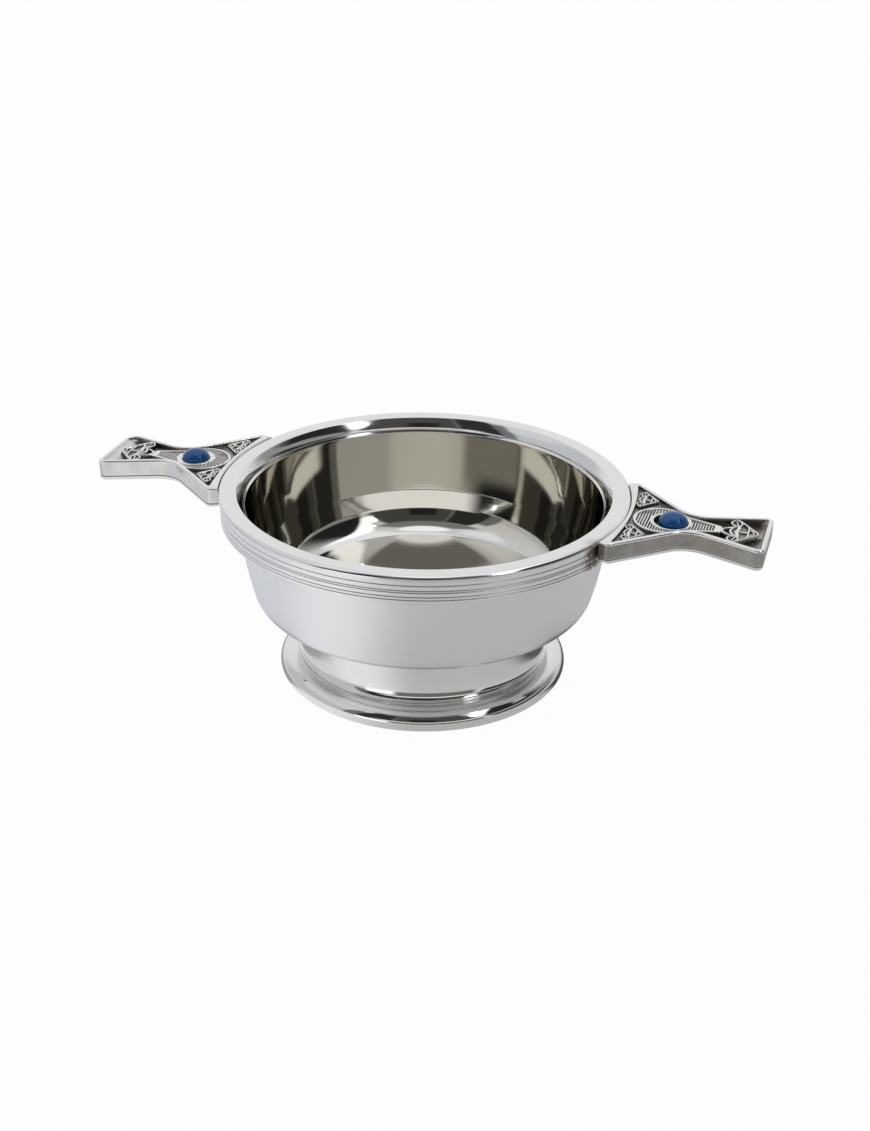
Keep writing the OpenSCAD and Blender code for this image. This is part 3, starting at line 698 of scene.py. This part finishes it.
def knot(shift, scale, width):
    """One interlaced knot on its own low bed, mirrored in its axis.

    An edge, a bar, an eye and a wave cross the axis, and a lobe with a vein and a ribbon lie on each
    side. A point (x, y) of the tip's knot goes to shift + scale (x - the tip knot's place, y).
    """
    move = lambda p: np.asarray(shift) + (np.asarray(p, float) - [KNOT_AT, 0]) * scale
    lines = [(along(move(across(KNOT_EDGE)), 48), 0.42, -0.20, False),
             (along(move(across(KNOT_BAR)), 24), 0.40, -0.24, False),
             (along(move(across(KNOT_EYE)), 20), 0.32, -0.24, False),
             (along(move(across(KNOT_WAVE)), 24), 0.48, -0.22, False),
             (along(move([(25.0, 0), (26.6, 0), (28.2, 0)]), 10), 0.48, -0.30, False)]
    for s in (1, -1):
        flip = lambda half: move([(x, s * y) for x, y in half])
        lines += [(along(flip(KNOT_LOBE), 40, True), 0.42, -0.20, True),
                  (along(flip(KNOT_VEIN), 10), 0.30, -0.30, False),
                  (along(flip(KNOT_RIBBON), 14), 0.80, -0.28, False)]
    bed = along(move(across(KNOT_BED)[:-1]), 72, True)
    middle = np.tile(bed.mean(0), (len(bed), 1))
    rows = [(middle, BURIED_Z, 1.0), (bed, floor_z(bed[:, 0]) - 0.1, 1.0), (bed, KNOT_BED_EDGE_Z, 0.9),
            (bed * 0.94 + middle * 0.06, KNOT_BED_Z, KNOT_BED_DIRT),
            (bed * 0.4 + middle * 0.6, KNOT_BED_Z, KNOT_BED_DIRT), (middle, KNOT_BED_Z, KNOT_BED_DIRT)]
    grid = np.stack([np.column_stack([xy, z + 0 * xy[:, 0]]) for xy, z, _ in rows], axis=1)
    parts = [(*skin(grid, True), marks_on([d for _, _, d in rows], len(bed), True))]
    parts += [strand(path, size * width, KNOT_FOOT_Z, top, closed) for path, size, top, closed in lines]
    return parts


def hatching():
    """Ridges across the panel, clipped between its edge line and the ring round the seat.

    At x along the lug a ridge ends on the disc's circle, at the root of radius squared less the
    distance squared, or further out on the stem's side, which draws in evenly.
    """
    parts = []
    for x in np.arange(DISC_AT - DISC_R + HATCH_START, HATCH_END, HATCH_PITCH):
        if x < DISC_AT + STEM_FROM:
            outer = math.sqrt(max((DISC_R - EDGE_LINE) ** 2 - (x - DISC_AT) ** 2, 0))
        else:
            share = (x - DISC_AT - STEM_MEETS) / (STEM_END - DISC_AT - STEM_MEETS)
            outer = STEM_ROOT_HALF + share * (STEM_TIP_HALF - STEM_ROOT_HALF) - EDGE_LINE
        clear = SEAT_RING_R ** 2 - (x - SEAT_AT) ** 2
        inner = math.sqrt(clear) if clear > 0 else 0
        runs = [(-outer, outer)] if inner == 0 else [(-outer, -inner), (inner, outer)]
        for start, end in runs:
            if end - start > HATCH_LEAST:
                path = np.column_stack([np.full(4, x), np.linspace(start, end, 4)])
                parts.append(strand(path, HATCH_W, GROUND_Z - 0.02, PANEL_Z - 0.02))
    return parts


def fork():
    """The stem's end: a plain tongue, and two arms that curl out round a hollow and taper under the knot."""
    arms = along(across([(24.5, 2.3), (23.4, 1.6), (22.5, 0.9), (STEM_END, 0)]), 36)
    width = 0.28 + 0.34 * np.sin(np.linspace(0, np.pi, len(arms)))
    tongue = np.column_stack([np.linspace(HATCH_END, STEM_END + 0.1, 5), np.zeros(5)])
    return [strand(arms, width, -1.6, PANEL_Z + 0.04), strand(tongue, 1.7, -1.0, PANEL_Z - 0.10)]


def joined(parts):
    """Several skins as one: the faces of each count on from the points before it."""
    counts = np.cumsum([0] + [len(p[0]) for p in parts])
    return (np.concatenate([p[0] for p in parts]),
            np.concatenate([p[1] + n for p, n in zip(parts, counts)]),
            np.concatenate([p[2] + n for p, n in zip(parts, counts)]),
            np.concatenate([p[3] for p in parts]))


def on_lug(points, side):
    """Takes points from a lug's own frame to the part's.

    With droop a, (x, y, z) becomes (root + x cos a + z sin a, y, height - x sin a + z cos a), and the
    left lug's points are then turned half round.
    """
    a = math.radians(LUG_DROOP)
    x, y, z = points.T
    placed = np.column_stack([LUG_ROOT_R + x * math.cos(a) + z * math.sin(a), y,
                              LUG_Z - x * math.sin(a) + z * math.cos(a)])
    return placed * ([-1, -1, 1] if side == "left" else [1, 1, 1])


def lug_finish():
    """Bright rubbed metal and a dark colour, shared out by the stain-and-shade mark with clouds and grain
    added to it. The dark colour is the sunk field's stain, and painted shade on the side walls.
    """
    made, wire, shader, place = new_finish("pewter_lug_finish")
    stain_and_shade = mark(wire, "stain_and_shade")
    cloud = noise(wire, place, 160.0, 4.0, 0.6)
    fine = noise(wire, place, 1500.0, 3.0, 0.6)
    dark_share = (stain_and_shade + 0.35 * (cloud - 0.5) + 0.3 * (fine - 0.5)).ease(0.15, 0.95)
    bright = cloud.between(colour(0.82, 0.815, 0.80), colour(0.90, 0.90, 0.89))
    dark = fine.between(colour(0.15, 0.132, 0.112), colour(0.28, 0.255, 0.225))
    feed(shader, Metallic=1.0, Base_Color=dark_share.between(bright, dark),
         Roughness=0.20 + 0.14 * dark_share + 0.06 * fine,
         Normal=bump(wire, fine * (0.15 + 0.85 * dark_share), 0.00006, 0.25))
    return made


raised_work = [*hatching(), *fork(), *knot((KNOT_AT, 0), (1, 1), 1.0)]
for s in (1, -1):
    raised_work += knot((ROOT_KNOT_AT, s * ROOT_KNOT_OUT), ROOT_KNOT_SCALE, ROOT_KNOT_WIDTH)
lug_material = lug_finish()
for side in ("left", "right"):
    points, quads, tris, stain_and_shade = joined([casting(side), panel(side), *raised_work])
    lug = add_piece("cast_lug_" + side, on_lug(points, side), quads, tris, "pewter_lug", ["lug_" + side],
                    {"stain_and_shade": stain_and_shade})
    lug.data.materials.append(lug_material)


# The stones: two blue domed stones with straight girdles, each set in dark cement in its seat.
# The left one fills its seat, and the right one has been pushed against the tip's side of it,
# so that a dark crescent shows beside it.
STONE_R, STONE_DOME, STONE_GIRDLE, STONE_BEVEL, STONE_TURNS = 3.4, 2.295, 1.2, 0.12, 96
STONE_SHIFT = {"left": 0.0, "right": 0.55}


def stone_finish():
    """Polished deep blue, with faint clouds."""
    made, wire, shader, place = new_finish("blue_stone_finish")
    cloud = noise(wire, place, 120.0, 2.0)
    feed(shader, Base_Color=cloud.between(colour(0.007, 0.092, 0.310), colour(0.012, 0.118, 0.370)),
         Roughness=0.03 + 0.03 * cloud, IOR=1.45)
    return made


def cement_finish():
    """Dull and nearly black, with a fine grit."""
    made, wire, shader, place = new_finish("cement_finish")
    grit = noise(wire, place, 2200.0, 3.0)
    feed(shader, Base_Color=grit.between(colour(0.008, 0.008, 0.010), colour(0.035, 0.032, 0.030)),
         Roughness=0.55 + 0.3 * grit, Normal=bump(wire, grit, 0.0001, 0.4))
    return made


stone_foot = [[0, -STONE_GIRDLE], [STONE_R - STONE_BEVEL, -STONE_GIRDLE],
              [STONE_R, -STONE_GIRDLE + STONE_BEVEL]]
stone_section = np.concatenate([stone_foot, arc((0, 0), STONE_R, STONE_DOME, 0, 90, 40)])
stone_section[-1, 0] = 0
stone_points, stone_quads, stone_tris = turned(stone_section, True, STONE_TURNS)
stone_material, cement_material = stone_finish(), cement_finish()
for side in ("left", "right"):
    placed = on_lug(stone_points + [SEAT_AT + STONE_SHIFT[side], 0, PANEL_Z], side)
    stone = add_piece("blue_stone_" + side, placed, stone_quads, stone_tris, "stone_blue",
                      ["stone_" + side], {})
    stone.data.materials.append(stone_material)
    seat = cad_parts["cement_" + side]
    seat.data.materials.clear()
    seat.data.materials.append(cement_material)


# The studio: a pale floor that shows white, with the object's own soft shadow on it.
# Pale cloth stands to the left and behind, with bright strips low in front and a bright arch on the right.
# The rest of the front and the right is a darker room, as the polished metal shows.
FRONT, RIGHT = (0.291, -0.957, 0.0), (0.957, 0.291, 0.0)
DIM_SIDE, BLACK_SIDE = (1.0, 0.0, 0.0), (0.849, 0.529, 0.0)
FLOOR_R, FLOOR_SIDES, FLOOR_DROP, FLOOR_NEAR = 4.0, 64, 0.0001, (0.056, 0.048)
SEEN_GLOW, MIRRORED_GLOW = 0.97, 0.75


def grey(value):
    """A neutral colour."""
    return colour(value, value, value)


def floor_finish():
    """Pale paint for the light and shadow, mixed with a glow for what sees the floor.

    The camera sees white with a small share of the paint, which keeps the shadow. Polished metal sees
    the glow, which is painted light and shadow for how the room lights the floor: dim on the right,
    bright on the left, and a painted shadow close under the bowl on two sides. How far a place lies to a
    side is its direction from the foot, dotted with that side's own.
    """
    made, wire, shader, place = new_finish("floor_finish")
    tree = made.node_tree
    path = lambda name: wire.node("ShaderNodeLightPath", {}, {}, name)
    feed(shader, Base_Color=grey(0.86), Roughness=0.9, Specular_IOR_Level=0.0)
    flat = wire.node("ShaderNodeVectorMath", {"operation": "NORMALIZE"}, {0: place}, "Vector")
    dim, black = (wire.node("ShaderNodeVectorMath", {"operation": "DOT_PRODUCT"}, {0: flat, 1: way}, "Value")
                  for way in (DIM_SIDE, BLACK_SIDE))
    seen = path("Is Camera Ray")
    radius = wire.node("ShaderNodeVectorMath", {"operation": "LENGTH"}, {0: place}, "Value")
    # painted light and painted shadow in the glow that polished metal sees: bright left, dim right, dark near
    # the foot
    painted_floor_light = dim.ease(0.25, -0.45).between(colour(0.59, 0.59, 0.595), colour(1.08, 1.08, 1.09))
    painted_floor_light = dim.ease(-0.6, -0.95).between(painted_floor_light, colour(0.82, 0.84, 0.88))
    near = radius.ease(*FLOOR_NEAR)
    painted_floor_light = (near * dim.ease(-0.74, -0.84)).between(painted_floor_light, grey(0.40))
    painted_floor_light = (near * black.ease(0.74, 0.84)).between(painted_floor_light, grey(0.02))
    glow = wire.node("ShaderNodeEmission", {}, {"Color": seen.between(painted_floor_light, grey(1.0)), "Strength": 1.0})
    mirrored_share = wire.math("MAXIMUM", path("Is Glossy Ray"), path("Is Transmission Ray")) * MIRRORED_GLOW
    share = wire.math("MAXIMUM", seen * SEEN_GLOW, mirrored_share)
    shown = wire.node("ShaderNodeMixShader", {}, {0: share, 1: Wire(tree, shader.outputs[0]), 2: glow})
    tree.links.new(shown.socket, tree.nodes["Material Output"].inputs["Surface"])
    return made


t = np.linspace(0, 2 * np.pi, FLOOR_SIDES + 1)[:-1]
floor_edge = np.column_stack([FLOOR_R * np.cos(t), FLOOR_R * np.sin(t), np.full(FLOOR_SIDES, -FLOOR_DROP)])
floor_mesh = bpy.data.meshes.new("pale_floor")
floor_mesh.from_pydata(floor_edge.tolist(), [], [list(range(FLOOR_SIDES))])
floor = bpy.data.objects.new("pale_floor", floor_mesh)
bpy.context.scene.collection.objects.link(floor)
floor.data.materials.append(floor_finish())

world = bpy.data.worlds.new("studio")
world.use_nodes = True
bpy.context.scene.world = world
room = Wire(world.node_tree)
toward = room.node("ShaderNodeTexCoord", {}, {}, "Generated")
DEGREES = 180 / math.pi


def dot(axis):
    """The direction into the room, dotted with an axis."""
    return room.node("ShaderNodeVectorMath", {"operation": "DOT_PRODUCT"}, {0: toward, 1: axis}, "Value")


# Directions in degrees: the turn from the front towards the right, its size, the same turn counted
# on past the back, and the rise above the table.
turn = room.math("ARCTAN2", dot(RIGHT), dot(FRONT)) * DEGREES
rise = room.math("ARCSINE", dot((0.0, 0.0, 1.0))) * DEGREES
away = room.math("ABSOLUTE", turn)
around = room.math("WRAP", turn, 270.0, -90.0)


def patch(value, low, high, soft):
    """1 where a value lies between low and high, falling to 0 within soft of each end."""
    return value.ease(low - soft, low + soft) * (1 - value.ease(high - soft, high + soft))


def oval(at_turn, at_rise, half_turn, half_rise, soft):
    """1 inside an oval of the room, where u squared plus v squared is under 1, with a soft edge."""
    u, v = (turn - at_turn) / half_turn, (rise - at_rise) / half_rise
    return 1 - room.math("SQRT", u * u + v * v).ease(1 - soft, 1 + soft)


arch_hollow = oval(97, 22, 46, 38, 0.05)
arch = oval(95, 22, 54, 48, 0.04) * (1 - arch_hollow)
studio = colour(0.70, 0.70, 0.705)
for mask, light in (
        # pale cloth behind, on the left, and high on the left and behind
        (patch(away, 138, 210, 24) * patch(rise, -20, 32, 3), grey(0.85)),
        (patch(turn, -134, -58, 8) * patch(rise, 0, 31, 3), colour(0.57, 0.58, 0.60)),
        (patch(turn, -140, -84, 8) * patch(rise, 59, 76, 3), grey(0.90)),
        (patch(around, 100, 200, 14) * patch(rise, 50, 76, 4), grey(1.0)),
        # the dark room in front, its lower part and its ceiling
        (patch(turn, -24, 44, 4) * patch(rise, 20, 64, 0.8), colour(0.07, 0.068, 0.063)),
        (patch(turn, -24, 48, 4) * patch(rise, -4, 15, 1), colour(0.16, 0.155, 0.145)),
        (patch(turn, -72, 62, 6) * patch(rise, 62, 79, 3), colour(0.22, 0.215, 0.20)),
        # dark edges of the cloth on the left
        (patch(turn, -62, -51, 2) * patch(rise, 6, 50, 4), grey(0.18)),
        (patch(turn, -52, -23, 2) * patch(rise, 11, 62, 2), grey(0.03)),
        # a bright strip in front, and a lamp low on the left
        (patch(turn, -36, 48, 8) * patch(rise, 14.5, 20, 0.8), grey(1.0)),
        (patch(turn, -50, -26, 3) * patch(rise, -12, 10, 2), grey(1.5)),
        # the arch on the right: its dark hollow, a dim bar across it, and its bright bow
        (arch_hollow * rise.ease(1, 6) * (1 - turn.ease(98, 140)), colour(0.02, 0.02, 0.022)),
        (patch(turn, 52, 128, 8) * patch(rise, 14, 25.5, 1.5), colour(0.30, 0.295, 0.28)),
        (arch * rise.ease(28, 34) * (1 - turn.ease(118, 136)), grey(1.5)),
        # the camera's dark shape, the light overhead, and two small lamps on the right
        (patch(turn, -10, 12, 2) * patch(rise, 20.5, 42, 1), grey(0.02)),
        (rise.ease(79, 82), grey(1.15)),
        (oval(47, 41, 4, 8, 0.3), grey(4.0)),
        (oval(62, 60, 2.2, 2.2, 0.3), grey(20.0))):
    studio = mask.between(studio, light)
seen = room.node("ShaderNodeLightPath", {}, {}, "Is Camera Ray")
shown = seen.between(studio, grey(1.0))
back = room.node("ShaderNodeBackground", {}, {"Color": shown, "Strength": 1.0})
outputs = [n for n in world.node_tree.nodes if n.type == "OUTPUT_WORLD"]
world.node_tree.links.new(back.socket, outputs[0].inputs["Surface"])

VIEW_REACH, VIEW_RISE, VIEW_TURN, VIEW_ROLL, AIM_Z = 0.421343, 26.147, 16.92, 0.698, 0.028
LENS_LENGTH, LENS_SENSOR, LENS_SHIFT, LENS_CLIP = 53.99, 36.0, (0.010042, -0.003435), (0.01, 20)
turn_a, rise_a, roll_a = (math.radians(a) for a in (VIEW_TURN, VIEW_RISE, VIEW_ROLL))
back_way = Vector((math.sin(turn_a) * math.cos(rise_a), -math.cos(turn_a) * math.cos(rise_a),
                   math.sin(rise_a)))
spin = back_way.to_track_quat("Z", "Y").to_matrix().to_4x4() @ Matrix.Rotation(roll_a, 4, "Z")
lens = bpy.data.cameras.new("view")
lens.sensor_fit, lens.sensor_height, lens.lens = "VERTICAL", LENS_SENSOR, LENS_LENGTH
lens.shift_x, lens.shift_y = LENS_SHIFT
lens.clip_start, lens.clip_end = LENS_CLIP
camera = bpy.data.objects.new("view", lens)
camera.matrix_world = Matrix.Translation(Vector((0, 0, AIM_Z)) + back_way * VIEW_REACH) @ spin
bpy.context.scene.collection.objects.link(camera)
bpy.context.scene.camera = camera
bpy.context.scene.view_settings.view_transform = "Standard"
